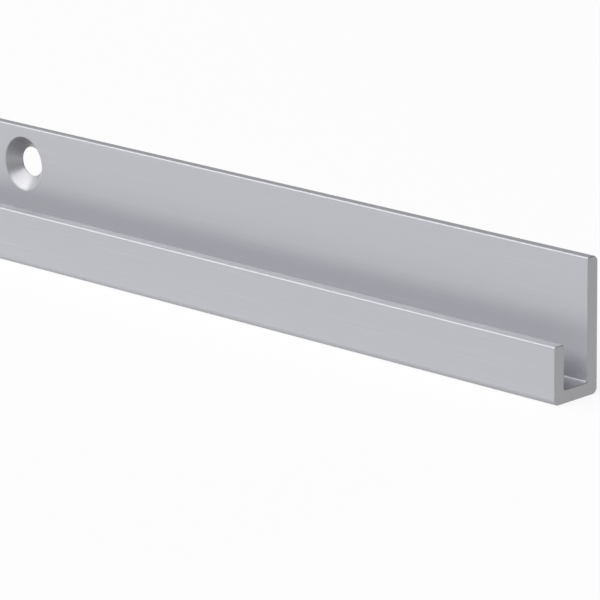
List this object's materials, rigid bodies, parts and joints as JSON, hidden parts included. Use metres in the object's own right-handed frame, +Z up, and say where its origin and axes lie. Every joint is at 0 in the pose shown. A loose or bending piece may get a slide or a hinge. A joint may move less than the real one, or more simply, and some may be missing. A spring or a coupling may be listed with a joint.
{
  "type": "aluminium j-section wall rail",
  "caption": "Straight aluminium extrusion of J section, with a tall plate drilled for countersunk wall screws and a short front lip that forms an open hanging channel.",
  "frame": {"origin": "middle of the underside, at the centre of the rail's length and depth", "axes": "+X along the rail, +Y from the lip towards the wall, +Z up"},
  "size_m": [1, 0.009, 0.02],
  "materials": {
    "aluminium": "satin anodised"
  },
  "bodies": {
    "root": {"rail": "aluminium"}
  },
  "joints": []
}
